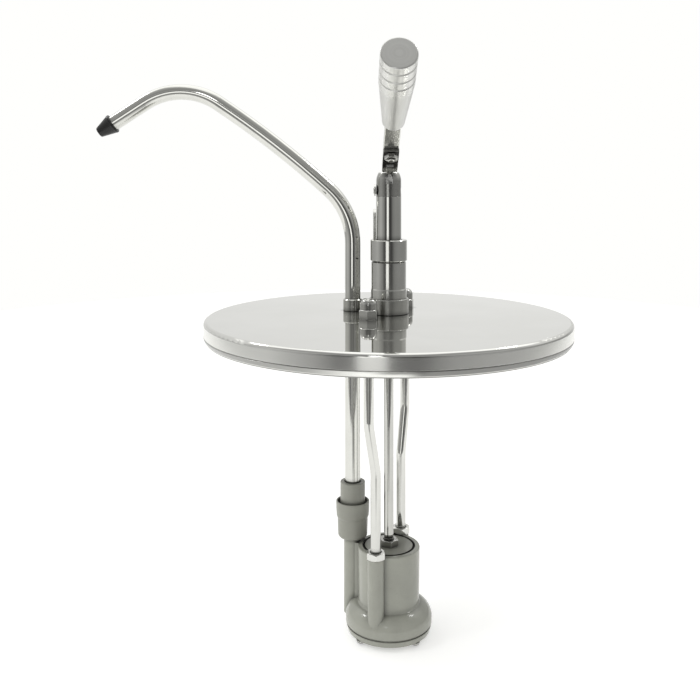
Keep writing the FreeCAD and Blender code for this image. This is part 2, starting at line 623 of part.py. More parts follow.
def spout_path():
    """Edges of the discharge tube's centre line, its end and its final direction."""
    foot = V(*DISCHARGE, SPOUT_Z0)
    point, heading = V(*DISCHARGE, TOP + SPOUT_RISE), math.pi / 2
    edges = [Part.makeLine(foot, point)]
    for radius, turn in SPOUT_BENDS:
        middle, end = [
            point + V((math.sin(heading + part) - math.sin(heading)) * radius, 0,
                      -(math.cos(heading + part) - math.cos(heading)) * radius)
            for part in (turn / 2, turn)]
        edges.append(Part.Arc(point, middle, end).toShape())
        point, heading = end, heading + turn
    direction = V(math.cos(heading), 0, math.sin(heading))
    tip = point + direction * SPOUT_TIP_L
    edges.append(Part.makeLine(point, tip))
    return edges, foot, tip, direction


def spout_nozzle(tip, direction):
    """Cone pushed over the tube's end, wide at its rim."""
    bore = SPOUT_R + GAP
    nozzle = turned([
        (bore, -0.9), (6.2, -0.9), (6.5, -0.6), (6.55, 0.4), (6.3, 0.75), (3.5, 10.1),
        (3.1, 10.5), (1.9, 10.5), (1.9, 7.0), (3.6, 1.05), (bore, 1.05)])
    return aimed(nozzle, tip + direction * -1.0, direction)


def seated_ball(at, seat_z, seat_r):
    """Valve ball resting on the rim of a round hole."""
    rise = math.sqrt(BALL_R ** 2 - seat_r ** 2)
    return Part.makeSphere(BALL_R, V(*at, seat_z + rise + GAP))


spout_edges, spout_foot, spout_tip, spout_dir = spout_path()
save("discharge_tube", swept(spout_edges, SPOUT_R, spout_foot).cut(
    swept(spout_edges, SPOUT_BORE_R, spout_foot)))
save("spout_nozzle", spout_nozzle(spout_tip, spout_dir))
save("discharge_collar", turned([
    (SPOUT_R + 0.05, 0), (6.1, 0), (6.3, 0.3), (6.3, 7.2), (5.7, 7.8), (SPOUT_R + 0.05, 7.8),
], DISCHARGE, base=TOP))
save("discharge_clip", turned([
    (SPOUT_R + GAP, -1.4), (8.2, -1.4), (8.2, CLAMP_Z), (SPOUT_R + GAP, CLAMP_Z)], DISCHARGE))

# coupling: upper sleeve on the tube, in the open mouth of the lower sleeve, which holds the
# outlet valve
save("coupling_upper_sleeve", turned([
    (5.4, -113.4), (5.6, -112.7), (7.6, -112.7), arc((8.0, -112.86), (8.15, -113.25)),
    (8.15, -126.0), (8.15, -134.5), (5.14, -134.5), (5.14, -132.0), (6.3, -132.0),
    (6.3, -129.8), (5.14, -129.8), (5.14, -121.2), (6.3, -121.2), (6.3, -119.0),
    (5.14, -119.0), (5.14, -116.0), (5.4, -115.6)], DISCHARGE, base=TOP))
save("coupling_o_rings", *[
    Part.makeTorus(5.72, 0.56, V(*DISCHARGE, z), V(0, 0, 1)) for z in (TOP - 130.9, TOP - 120.1)])
save("coupling_lower_sleeve", turned([
    (8.2, -134.6), (8.2, -130.5), (9.7, -126.2), (9.9, -125.6),
    arc((10.45, -125.3), (10.95, -125.8)), (10.9, -130.5), (10.6, -134.8), (9.95, -136.4),
    (9.65, -146.8), arc((8.9, -148.6), (7.2, -149.3)), (4.62, -149.3), (4.62, -145.8),
    (6.4, -144.4), (6.4, -136.6), (7.0, -134.6)], DISCHARGE, base=TOP))
save("outlet_stub", turned([
    (3.3, STUB_FOOT), (4.6, STUB_FOOT), (4.6, STUB_TOP), (3.4, STUB_TOP), (3.3, STUB_TOP - 0.1),
], DISCHARGE))
save("outlet_ball", seated_ball(DISCHARGE, STUB_TOP, 3.4))

# ---------------------------------------------------------------- pump body and base
BORE_R, BODY_R = 16.4, 20.0
BODY_H = BODY_TOP - SEAM
FLANGE_R = 27.8
BOSS_R = 5.2                  # tie-rod bosses
PORT_R = 5.8                  # column round the outlet bore
WEB_HALF = 4.6                # half width of the web between cylinder and port column
# from the pump axis
BASE_SCREWS = [polar(24.1, 41 + 90 * i) for i in range(4)]
INLET_R = 3.6
INLET_SEAT_Z = BASE_BOTTOM + 3.2
BASE_SPIGOT_R = 16.3
BASE_SPIGOT_H = 9.2
BASE_SPIGOT_TOP = SEAM + BASE_SPIGOT_H


def pump_body():
    port_distance = math.hypot(*PORT)
    ex, ey = PORT[0] / port_distance, PORT[1] / port_distance   # unit vector toward the port

    def beside(x, y, side):
        return V(x - side * WEB_HALF * ey, y + side * WEB_HALF * ex, SEAM + 2)

    body = turned([
        (0, BODY_H), (BODY_R - 0.8, BODY_H),
        quarter((BODY_R - 0.8, BODY_H), (BODY_R, BODY_H - 0.8), (BODY_R - 0.8, BODY_H - 0.8)),
        (19.6, 13.8), arc((19.9, 12.8), (20.8, 12.3)), arc((25.7, 9.1), (FLANGE_R, 4.4)),
        (FLANGE_R, 0.4), (FLANGE_R - 0.3, 0.05), (0, 0.05)], base=SEAM)
    for at in ROD_OFFSETS:
        body = body.fuse(cylinder(BOSS_R, SEAM + 2.0, BODY_TOP, at))
    body = body.fuse(cylinder(PORT_R, SEAM + 0.05, BODY_TOP, PORT))
    inner = (10 * ex, 10 * ey)
    web = Part.Face(Part.makePolygon([
        beside(*inner, 1), beside(*PORT, 1), beside(*PORT, -1), beside(*inner, -1),
        beside(*inner, 1)])).extrude(V(0, 0, BODY_H - 3.0))
    body = body.fuse(web).removeSplitter()
    # cylinder bore and its chamfered mouth
    body = body.cut(cylinder(BORE_R, SEAM - 1, BODY_TOP + 1)).cut(turned([
        (0, -0.4), (BORE_R - 0.1, -0.4), (BORE_R + 0.7, 0.4), (0, 0.4)], base=BODY_TOP))
    for at in ROD_OFFSETS:
        body = body.cut(cylinder(ROD_BORE_R, BODY_TOP - 24.5, BODY_TOP + 1, at))
    # outlet: stub pocket, then down to the passage from the foot of the cylinder
    body = body.cut(cylinder(4.62, STUB_FOOT, BODY_TOP + 1, PORT))
    body = body.cut(cylinder(3.3, SEAM + 11.8, BODY_TOP, PORT))
    body = body.cut(Part.makeCylinder(
        3.0, port_distance - 12, V(12 * ex, 12 * ey, SEAM + 14.8), V(ex, ey, 0)))
    for at in BASE_SCREWS:
        body = body.cut(cylinder(1.55, SEAM - 1, SEAM + 7.2, at))
    return at_pump(body)


def base_plate():
    bottom = BASE_BOTTOM - SEAM
    base = turned([
        (0, 0), (0, BASE_SPIGOT_H), (15.9, BASE_SPIGOT_H), (BASE_SPIGOT_R, BASE_SPIGOT_H - 0.4),
        (BASE_SPIGOT_R, 5.0), (14.2, 5.0), (14.2, 2.4), (BASE_SPIGOT_R, 2.4),
        (BASE_SPIGOT_R, 0), (FLANGE_R - 1.2, 0), (FLANGE_R - 1.2, -1.1),
        (FLANGE_R - 0.6, -1.15), (FLANGE_R - 0.45, -1.5), (26.6, bottom + 0.6),
        arc((26.45, bottom + 0.2), (26.1, bottom)), (0, bottom)], base=SEAM)
    # inlet: hole, ball chamber above it, funnel below
    base = base.cut(cylinder(INLET_R, BASE_BOTTOM - 1, INLET_SEAT_Z + 1))
    base = base.cut(cylinder(6.2, INLET_SEAT_Z, BASE_SPIGOT_TOP + 1))
    base = base.cut(turned([(0, -0.5), (8.1, -0.5), (2.7, 2.5), (0, 2.5)], base=BASE_BOTTOM))
    for at in BASE_SCREWS:
        base = base.cut(cylinder(1.7, BASE_BOTTOM - 1, SEAM + 1, at))
    return at_pump(base)


def base_screw(offset, recess_turn):
    """Screw from below with a cross recess."""
    x, y = moved(PUMP, *offset)
    screw = turned([
        (0, SEAM + 6.6), (1.2, SEAM + 6.6), (1.52, SEAM + 6.2), (1.52, BASE_BOTTOM - GAP),
        (2.9, BASE_BOTTOM - GAP), (2.9, BASE_BOTTOM - 0.9),
        arc((2.3, BASE_BOTTOM - 1.65), (1.1, BASE_BOTTOM - 1.9)), (0, BASE_BOTTOM - 1.9)], (x, y))
    for length, width in ((3.4, 0.8), (0.8, 3.4)):
        corner = V(-length / 2, -width / 2, BASE_BOTTOM - 2.2)
        recess = Part.makeBox(length, width, 0.9, corner)
        recess.rotate(V(0, 0, 0), V(0, 0, 1), recess_turn)
        recess.translate(V(x, y, 0))
        screw = screw.cut(recess)
    return screw


def inlet_cage():
    """Disc with three holes over the inlet ball."""
    cage = cylinder(13.5, BASE_SPIGOT_TOP + GAP, BASE_SPIGOT_TOP + 1.2)
    for i in range(3):
        at = polar(4.0, 90 + 120 * i)
        cage = cage.cut(cylinder(2.0, BASE_SPIGOT_TOP - 1, BASE_SPIGOT_TOP + 2, at))
    return at_pump(cage)


save("pump_body", pump_body())
save("base_plate", base_plate())
save("base_o_ring", at_pump(Part.makeTorus(15.22, 0.98, V(0, 0, SEAM + 3.7), V(0, 0, 1))))
save("base_screws", *[base_screw(at, 20 + 63 * i) for i, at in enumerate(BASE_SCREWS)])
save("inlet_ball", seated_ball(PUMP, INLET_SEAT_Z, INLET_R))
save("inlet_cage", inlet_cage())
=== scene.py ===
import math

import bpy
from mathutils import Matrix, Vector


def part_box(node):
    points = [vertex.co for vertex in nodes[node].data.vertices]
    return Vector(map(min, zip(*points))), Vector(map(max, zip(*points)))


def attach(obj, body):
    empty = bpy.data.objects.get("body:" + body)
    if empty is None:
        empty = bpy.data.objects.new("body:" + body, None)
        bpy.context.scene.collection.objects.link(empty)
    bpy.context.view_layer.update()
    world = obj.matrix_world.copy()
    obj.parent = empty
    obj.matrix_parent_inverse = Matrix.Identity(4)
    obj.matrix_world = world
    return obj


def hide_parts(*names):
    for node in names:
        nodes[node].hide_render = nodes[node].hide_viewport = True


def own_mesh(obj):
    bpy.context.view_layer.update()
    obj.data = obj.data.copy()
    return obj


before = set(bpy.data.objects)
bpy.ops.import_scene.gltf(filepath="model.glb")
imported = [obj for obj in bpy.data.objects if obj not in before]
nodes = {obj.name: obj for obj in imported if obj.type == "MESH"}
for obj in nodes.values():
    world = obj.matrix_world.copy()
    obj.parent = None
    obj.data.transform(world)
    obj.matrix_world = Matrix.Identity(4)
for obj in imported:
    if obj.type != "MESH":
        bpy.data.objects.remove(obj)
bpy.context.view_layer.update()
scene = bpy.context.scene
scene.view_settings.view_transform = "Standard"

# ------------------------------------------------------------------ places, in metres
TOP = 0.0012
AX, AY = 0.0015, 0.0130
DX, DY = -0.0218, 0.0240
BODY_TOP = TOP - 0.1502
SEAM = TOP - 0.1984
FLOOR_Z = -0.2053
UP = Vector((0, 0, 1))
LEVER_A = math.radians(27.0)
LU = Vector((0, -math.cos(LEVER_A), math.sin(LEVER_A)))
LN = Vector((0, math.sin(LEVER_A), math.cos(LEVER_A)))
LBASE = Vector((AX, AY - 0.0100, TOP + 0.0936))
KNOB_BASE = LBASE + LU * 0.0574 + LN * 0.0010
KNOB_L = 0.0691


# ------------------------------------------------------------------ material tools
class Mat:
    """A node material with a few short hands."""

    def __init__(self, name):
        self.m = bpy.data.materials.new(name)
        self.m.use_nodes = True
        self.nt = self.m.node_tree
        self.b = self.nt.nodes["Principled BSDF"]
        self.tc = self.nt.nodes.new("ShaderNodeTexCoord")

    def put(self, sock, v):
        if hasattr(v, "is_linked"):
            self.nt.links.new(v, sock)
        else:
            sock.default_value = v

    def math(self, op, *args, clamp=False):
        n = self.nt.nodes.new("ShaderNodeMath")
        n.operation = op
        n.use_clamp = clamp
        for i, a in enumerate(args):
            self.put(n.inputs[i], a)
        return n.outputs[0]

    def vec(self, op, *args):
        n = self.nt.nodes.new("ShaderNodeVectorMath")
        n.operation = op
        for i, a in enumerate(args):
            if op == "SCALE" and i == 1:
                self.put(n.inputs["Scale"], a)
            else:
                self.put(n.inputs[i], a)
        return n.outputs["Value"] if op in ("DOT_PRODUCT", "LENGTH") else n.outputs["Vector"]

    def xyz(self, x, y, z):
        n = self.nt.nodes.new("ShaderNodeCombineXYZ")
        for i, a in enumerate((x, y, z)):
            self.put(n.inputs[i], a)
        return n.outputs[0]

    def split(self, v):
        n = self.nt.nodes.new("ShaderNodeSeparateXYZ")
        self.nt.links.new(v, n.inputs[0])
        return n.outputs

    @property
    def obj(self):
        return self.tc.outputs["Object"]

    @property
    def nrm(self):
        return self.tc.outputs["Normal"]

    def stretch(self, v, s):
        return self.vec("MULTIPLY", v, s)

    def noise(self, v, scale=1.0, detail=2.0, rough=0.5, dist=0.0):
        n = self.nt.nodes.new("ShaderNodeTexNoise")
        self.nt.links.new(v, n.inputs["Vector"])
        n.inputs["Scale"].default_value = scale
        n.inputs["Detail"].default_value = detail
        n.inputs["Roughness"].default_value = rough
        n.inputs["Distortion"].default_value = dist
        return n.outputs["Fac"]

    def span(self, v, a, b, c=0.0, d=1.0):
        n = self.nt.nodes.new("ShaderNodeMapRange")
        n.interpolation_type = "SMOOTHSTEP"
        self.put(n.inputs[0], v)
        for i, x in enumerate((a, b, c, d)):
            self.put(n.inputs[i + 1], x)
        return n.outputs[0]

    def mix(self, f, a, b):
        n = self.nt.nodes.new("ShaderNodeMix")
        n.data_type = "FLOAT"
        self.put(n.inputs[0], f)
        self.put(n.inputs[2], a)
        self.put(n.inputs[3], b)
        return n.outputs[0]

    def mixc(self, f, a, b):
        n = self.nt.nodes.new("ShaderNodeMix")
        n.data_type = "RGBA"
        self.put(n.inputs[0], f)
        self.put(n.inputs[6], a if hasattr(a, "is_linked") else (*a, 1.0))
        self.put(n.inputs[7], b if hasattr(b, "is_linked") else (*b, 1.0))
        return n.outputs[2]

    def about(self, point, direction):
        """(distance along the axis, distance from the axis) of the shaded point."""
        d = self.vec("SUBTRACT", self.obj, tuple(point))
        s = self.vec("DOT_PRODUCT", d, tuple(direction))
        flat = self.vec("SUBTRACT", d, self.vec("SCALE", tuple(direction), s))
        return s, self.vec("LENGTH", flat)

    def turned(self, point, direction, k):
        """Lathe marks: lines that vary along the axis and with the radius."""
        s, r = self.about(point, direction)
        drift = self.noise(self.obj, 90.0, 1.0)
        return self.noise(self.xyz(self.math("MULTIPLY", s, k), self.math("MULTIPLY", r, k), drift), 1.0, 3.0, 0.6)

    def edges(self, radius):
        n = self.nt.nodes.new("ShaderNodeBevel")
        n.samples = 4
        n.inputs["Radius"].default_value = radius
        return n.outputs[0]

    def corners(self, radius):
        """1 on outside corners, 0 on faces."""
        g = self.nt.nodes.new("ShaderNodeNewGeometry")
        d = self.vec("DOT_PRODUCT", self.edges(radius), g.outputs["Normal"])
        return self.span(d, 0.995, 0.93)

    def bump(self, h, strength, dist, normal=None):
        n = self.nt.nodes.new("ShaderNodeBump")
        n.inputs["Strength"].default_value = strength
        n.inputs["Distance"].default_value = dist
        self.nt.links.new(h, n.inputs["Height"])
        if normal is not None:
            self.nt.links.new(normal, n.inputs["Normal"])
        return n.outputs[0]

    def open(self, dist, power=1.0):
        """1 on open surfaces, falling to 0 in gaps and corners."""
        n = self.nt.nodes.new("ShaderNodeAmbientOcclusion")
        n.samples = 6
        n.inputs["Distance"].default_value = dist
        return self.math("POWER", n.outputs["AO"], power)

    def tangent(self, axis="Z"):
        n = self.nt.nodes.new("ShaderNodeTangent")
        n.direction_type = "RADIAL"
        n.axis = axis
        self.nt.links.new(n.outputs[0], self.b.inputs["Tangent"])

    def set(self, **kw):
        names = {"color": "Base Color", "rough": "Roughness", "metal": "Metallic", "aniso": "Anisotropic",
                 "ior": "IOR", "normal": "Normal", "spec": "Specular IOR Level", "coat": "Coat Weight",
                 "coat_rough": "Coat Roughness", "sss": "Subsurface Weight", "arot": "Anisotropic Rotation"}
        for k, v in kw.items():
            if k == "color" and not hasattr(v, "is_linked"):
                v = (*v, 1.0)
            self.put(self.b.inputs[names[k]], v)
        return self


def smudges(m, lo, hi):
    """Handling marks: soft blotches and a few fine wipe streaks in the roughness."""
    blot = m.noise(m.obj, 38.0, 4.0, 0.62, 0.4)
    wipe = m.noise(m.stretch(m.obj, (300.0, 90.0, 140.0)), 1.0, 3.0, 0.7, 0.6)
    f = m.math("ADD", m.math("MULTIPLY", m.span(blot, 0.42, 0.72), 0.7), m.math("MULTIPLY", m.span(wipe, 0.5, 0.8), 0.3))
    return m.mix(f, lo, hi)


def steel(name, tint, lo, hi, lines, depth, aniso=0.0, axis="Z", edge=0.00018, gap=0.0035, wear_and_glint=0.0, painted_light=None):
    """Stainless part. lines is a function of the material that gives the height of its working marks."""
    m = Mat(name)
    h = lines(m)
    grain = m.noise(m.obj, 2600.0, 2.0, 0.6)
    colour = m.mixc(m.span(m.noise(m.obj, 55.0, 3.0), 0.3, 0.75), tint, tuple(c * 0.93 for c in tint))
    # painted shade: darkened in gaps and corners
    colour = m.mixc(m.open(gap, 1.3), tuple(c * 0.10 for c in tint), colour)
    if wear_and_glint:
        # corners painted bright: partly worn by spanners and wiping, partly a painted edge highlight
        colour = m.mixc(m.math("MULTIPLY", m.corners(edge), wear_and_glint), colour, (0.95, 0.95, 0.92))
    # painted light from the part's own function: a highlight on the cap, shade and highlight on the yoke
    if painted_light:
        colour = painted_light(m, colour)
    n1 = m.bump(h, 0.35, depth, m.edges(edge) if edge else None)
    n2 = m.bump(grain, 0.08, depth * 0.5, n1)
    rough = m.math("ADD", smudges(m, lo, hi), m.math("MULTIPLY", m.math("SUBTRACT", h, 0.5), lo * 0.6))
    m.set(color=colour, metal=1.0, rough=rough, normal=n2)
    if aniso:
        m.set(aniso=aniso, arot=0.25)
        m.tangent(axis)
    return m.m


def draw_lines(k):
    return lambda m: m.noise(m.stretch(m.nrm, (k, k, k)), 1.0, 2.0, 0.6)


def ring_lines(x, y, k):
    return lambda m: m.turned((x, y, 0.0), (0, 0, 1), k)


def sheet_lines(v):
    return lambda m: m.noise(m.stretch(m.obj, v), 1.0, 3.0, 0.65)


def cap_painted_highlight(m, colour):
    """The upward-facing shoulder is painted brighter than the turned side: a painted highlight."""
    nx, ny, nz = m.split(m.nrm)
    return m.mixc(m.span(nz, 0.40, 0.66), colour, (0.95, 0.95, 0.92))


def yoke_painted_shade_and_highlight(m, colour):
    """Painted shade: faces turned down beneath the pad are darkened. Painted highlight: bright streaks low on the
    tongue, where it sits in the slot.
    """
    x, y, z = m.split(m.obj)
    # painted shade on faces turned down beneath the pad
    below = m.span(m.vec("DOT_PRODUCT", m.nrm, tuple(-LN)), 0.72, 0.90)
    colour = m.mixc(below, colour, (0.040, 0.040, 0.038))
    # painted highlight: bright streaks low on the tongue, in the slot
    slot_highlight = m.math("MULTIPLY", m.span(z, TOP + 0.0950, TOP + 0.0925), m.span(m.noise(m.stretch(m.obj, (520.0, 60.0, 420.0)), 1.0, 3.0, 0.6), 0.36, 0.56))
    return m.mixc(slot_highlight, colour, (0.95, 0.95, 0.92))


mats = {}
# the lid: mirror top with faint circular polish marks, rolled edge and a skirt brushed round
m = Mat("steel_lid")
x, y, z = m.split(m.obj)
skirt = m.span(z, TOP - 0.0011, TOP - 0.0028)
rad = m.math("SQRT", m.math("ADD", m.math("MULTIPLY", x, x), m.math("MULTIPLY", y, y)))
circ = m.noise(m.xyz(m.math("MULTIPLY", rad, 1500.0), m.noise(m.obj, 30.0, 1.0), 0.0), 1.0, 4.0, 0.65)
band = m.noise(m.stretch(m.obj, (55.0, 55.0, 5200.0)), 1.0, 3.0, 0.7)
fine = m.noise(m.stretch(m.obj, (160.0, 160.0, 9000.0)), 1.0, 2.0, 0.6)
h = m.mix(skirt, m.math("MULTIPLY", circ, 0.35), m.math("ADD", m.math("MULTIPLY", band, 0.6), m.math("MULTIPLY", fine, 0.4)))
wipe = m.noise(m.stretch(m.obj, (36.0, 150.0, 40.0)), 1.0, 5.0, 0.7, 1.2)
blot = m.noise(m.obj, 24.0, 4.0, 0.6)
top_r = m.math("ADD", 0.030, m.math("ADD", m.math("MULTIPLY", m.span(wipe, 0.52, 0.8), 0.035), m.math("MULTIPLY", m.span(blot, 0.5, 0.8), 0.03)))
side_r = m.math("ADD", 0.17, m.math("MULTIPLY", band, 0.09))
n1 = m.bump(h, 0.30, 0.000007, m.edges(0.0002))
n2 = m.bump(m.noise(m.obj, 14.0, 2.0), 0.06, 0.00030, n1)
tone = m.mixc(m.span(m.noise(m.obj, 18.0, 3.0), 0.3, 0.7), (0.72, 0.72, 0.695), (0.68, 0.68, 0.652))
tone = m.mixc(skirt, tone, (0.83, 0.83, 0.80))
# painted shade: the lid's underside and the inside of the skirt are darkened
underside_shade = m.math("MULTIPLY", m.span(z, 0.0006, 0.0003), m.span(rad, 0.1139, 0.1136))
tone = m.mixc(underside_shade, tone, (0.30, 0.30, 0.288))
side_r = m.mix(underside_shade, side_r, m.math("ADD", 0.30, m.math("MULTIPLY", m.noise(m.stretch(m.obj, (30.0, 900.0, 30.0)), 1.0, 3.0, 0.7), 0.16)))
# the hem is painted: a painted shade all round, lighter towards the left, and a painted highlight at the front, just
# left of centre
hem_painted_shade = m.mix(m.span(x, 0.010, -0.040), 0.25, 0.37)
hem_painted_highlight = m.math("MULTIPLY", m.math("MULTIPLY", m.span(x, -0.050, -0.012), m.span(x, 0.014, 0.002)), m.math("LESS_THAN", y, 0.0))
hem = m.math("MULTIPLY", m.span(z, -0.0078, -0.0084), m.span(rad, 0.1138, 0.1142))
tone = m.mixc(hem, tone, m.vec("SCALE", (1.0, 1.0, 0.965), m.mix(hem_painted_highlight, hem_painted_shade, 0.93)))
# painted shade: darkened in gaps and corners
tone = m.mixc(m.open(0.003, 1.2), (0.10, 0.10, 0.096), tone)
rim = m.math("MULTIPLY", m.span(z, TOP - 0.00004, TOP - 0.00035), m.span(rad, 0.1150, 0.1160))
top_r = m.mix(rim, top_r, 0.19)
m.set(color=tone, metal=1.0, rough=m.mix(skirt, top_r, side_r), normal=n2, aniso=m.math("MULTIPLY", skirt, 0.65), arot=0.25)
m.tangent("Z")
mats["lid"] = m.m

mats["column"] = steel("steel_column_turned", (0.62, 0.62, 0.59), 0.11, 0.20, ring_lines(AX, AY, 5200.0), 0.000005, 0.55)
mats["collar"] = steel("steel_collar_turned", (0.55, 0.55, 0.52), 0.16, 0.26, ring_lines(DX, DY, 5200.0), 0.000006, 0.5)
mats["cap"] = steel("steel_cap_turned", (0.40, 0.40, 0.38), 0.20, 0.30, ring_lines(AX, AY, 4200.0), 0.000006, 0.5, gap=0.006, painted_light=cap_painted_highlight)
mats["tube"] = steel("chrome_plunger_tube", (0.63, 0.63, 0.60), 0.05, 0.11, ring_lines(AX, AY, 7000.0), 0.000002, 0.3)
mats["spout"] = steel("steel_spout_tube", (0.71, 0.71, 0.675), 0.07, 0.14, draw_lines(42.0), 0.0000007, edge=0)
mats["rod"] = steel("steel_rod_drawn", (0.72, 0.72, 0.69), 0.08, 0.17, draw_lines(30.0), 0.000001, edge=0)
mats["plunger"] = steel("steel_plunger_rod", (0.58, 0.58, 0.555), 0.06, 0.14, draw_lines(30.0), 0.000001, edge=0)
mats["ring"] = steel("steel_base_ring_matt", (0.46, 0.46, 0.435), 0.30, 0.40, ring_lines(AX, AY, 3000.0), 0.000010, 0.5)
mats["lever"] = steel("steel_lever_brushed", (0.78, 0.78, 0.75), 0.22, 0.34, sheet_lines((3600.0, 120.0, 120.0)), 0.000008, gap=0.004)
mats["yoke"] = steel("steel_yoke_pressed", (0.52, 0.52, 0.50), 0.18, 0.30, sheet_lines((2200.0, 160.0, 160.0)), 0.000008, gap=0.003, painted_light=yoke_painted_shade_and_highlight)
mats["bracket"] = steel("steel_bracket_brushed", (0.66, 0.66, 0.63), 0.20, 0.32, sheet_lines((150.0, 2600.0, 110.0)), 0.000016)
mats["fastener"] = steel("steel_fastener", (0.50, 0.50, 0.478), 0.07, 0.16, sheet_lines((900.0, 900.0, 900.0)), 0.000006, edge=0.00045, wear_and_glint=0.9)
mats["nut"] = steel("steel_nut_bright", (0.76, 0.76, 0.73), 0.08, 0.18, sheet_lines((900.0, 900.0, 900.0)), 0.000006, edge=0.00035, wear_and_glint=0.8, gap=0.002)
mats["clip"] = steel("steel_clip_bright", (0.80, 0.80, 0.77), 0.24, 0.36, sheet_lines((900.0, 900.0, 900.0)), 0.000006, gap=0.0008)
mats["wire"] = steel("steel_spring_wire", (0.52, 0.52, 0.50), 0.20, 0.34, draw_lines(24.0), 0.000012)
mats["ball"] = steel("steel_ball", (0.74, 0.74, 0.72), 0.04, 0.10, sheet_lines((400.0, 400.0, 400.0)), 0.000003)

# knob: fine facing marks on the end, polished front with its grooves, a brushed taper behind
m = Mat("aluminium_knob_turned")
s, r = m.about(KNOB_BASE, LU)
lines = m.turned(KNOB_BASE, LU, 4300.0)
coarse = m.turned(KNOB_BASE, LU, 1500.0)
taper = m.span(s, KNOB_L - 0.0275, KNOB_L - 0.0315)
face = m.span(s, KNOB_L - 0.0006, KNOB_L - 0.0001)
h = m.math("ADD", m.math("MULTIPLY", lines, 0.65), m.math("MULTIPLY", coarse, 0.35))
rough = m.mix(taper, m.mix(face, smudges(m, 0.26, 0.36), 0.28), smudges(m, 0.34, 0.44))
tone = m.mixc(m.span(m.noise(m.obj, 60.0, 3.0), 0.3, 0.75), (0.79, 0.79, 0.765), (0.73, 0.73, 0.705))
groove = m.math("MULTIPLY", m.span(r, 0.00985, 0.00945), m.span(s, KNOB_L - 0.0290, KNOB_L - 0.0270))
groove = m.math("MULTIPLY", groove, m.span(s, KNOB_L - 0.0012, KNOB_L - 0.0020))
tone = m.mixc(face, tone, (0.66, 0.66, 0.64))
sx, sy, sz = m.split(m.obj)
streak = m.noise(m.xyz(m.math("MULTIPLY", sx, 620.0), m.math("MULTIPLY", m.vec("DOT_PRODUCT", m.obj, tuple(LN)), 620.0), m.math("MULTIPLY", s, 30.0)), 1.0, 3.0, 0.6)
tone = m.mixc(m.math("MULTIPLY", m.math("MULTIPLY", m.span(streak, 0.36, 0.66), 0.55), m.math("SUBTRACT", 1.0, face)), tone, (0.60, 0.60, 0.58))
tone = m.mixc(m.math("MULTIPLY", taper, 0.55), tone, (0.62, 0.62, 0.60))
# painted highlight: the grooves are lightened against their own shade
tone = m.mixc(groove, tone, (0.84, 0.84, 0.81))
tone = m.mixc(m.math("MULTIPLY", face, m.span(m.turned(KNOB_BASE, LU, 1300.0), 0.40, 0.62)), tone, (0.61, 0.61, 0.59))
# painted shade: darkened in gaps and corners
tone = m.mixc(m.open(0.0012, 0.6), (0.40, 0.40, 0.386), tone)
n1 = m.bump(h, 0.5, 0.000008, m.edges(0.00022))
m.set(color=tone, metal=m.mix(face, m.mix(groove, 0.66, 0.35), 0.9), rough=rough, normal=n1)
mats["knob"] = m.m


def plastic(name, tint, lo, hi, lines=None, edge=0.0003, grain=1400.0, depth=0.00003, spec=0.5, bore=False):
    m = Mat(name)
    cloud = m.noise(m.obj, 42.0, 4.0, 0.55, 0.8)
    speck = m.span(m.noise(m.obj, 900.0, 2.0, 0.5), 0.60, 0.74)
    tone = m.mixc(m.span(cloud, 0.3, 0.72), tint, tuple(c * 0.90 for c in tint))
    tone = m.mixc(m.math("MULTIPLY", speck, 0.25), tone, tuple(c * 0.7 for c in tint))
    n = m.bump(m.noise(m.obj, grain, 3.0, 0.6), 0.12, depth, m.edges(edge))
    if lines is not None:
        n = m.bump(lines(m), 0.4, 0.00002, n)
    scuff = m.span(m.noise(m.obj, 150.0, 5.0, 0.7, 0.4), 0.52, 0.78)
    # painted shade: darkened in gaps and corners
    tone = m.mixc(m.open(0.004, 1.1), tuple(c * 0.22 for c in tint), tone)
    if bore:
        # painted shade: a dark ring in the gap between the piston and the cylinder
        s, r = m.about((AX, AY, BODY_TOP), (0, 0, 1))
        gap = m.math("MULTIPLY", m.span(m.math("ABSOLUTE", m.math("SUBTRACT", r, 0.01625)), 0.00100, 0.00072), m.span(s, -0.0100, -0.0040))
        tone = m.mixc(gap, tone, tuple(c * 0.07 for c in tint))
        spec = m.mix(gap, spec, 0.05)
    m.set(color=tone, rough=m.mix(scuff, lo, hi), normal=n, ior=1.5, spec=spec)
    return m.m


mats["body"] = plastic("plastic_body_moulded", (0.338, 0.343, 0.300), 0.12, 0.19, None, 0.0003, 1100.0, 0.000008, bore=True)
mats["coupling"] = plastic("plastic_coupling_turned", (0.296, 0.298, 0.260), 0.34, 0.46, ring_lines(DX, DY, 2600.0))
mats["piston"] = plastic("plastic_piston_turned", (0.255, 0.258, 0.224), 0.28, 0.40, ring_lines(AX, AY, 3000.0), bore=True)
mats["bushing"] = plastic("plastic_bushing_acetal", (0.78, 0.78, 0.74), 0.30, 0.42, ring_lines(AX, AY, 2600.0))
mats["nozzle"] = plastic("rubber_nozzle", (0.012, 0.012, 0.012), 0.34, 0.50, None, 0.0003, 1800.0, 0.00002, 0.4)
mats["seal"] = plastic("rubber_seal", (0.018, 0.018, 0.019), 0.45, 0.60, None, 0.0002, 2200.0, 0.00002, 0.4)

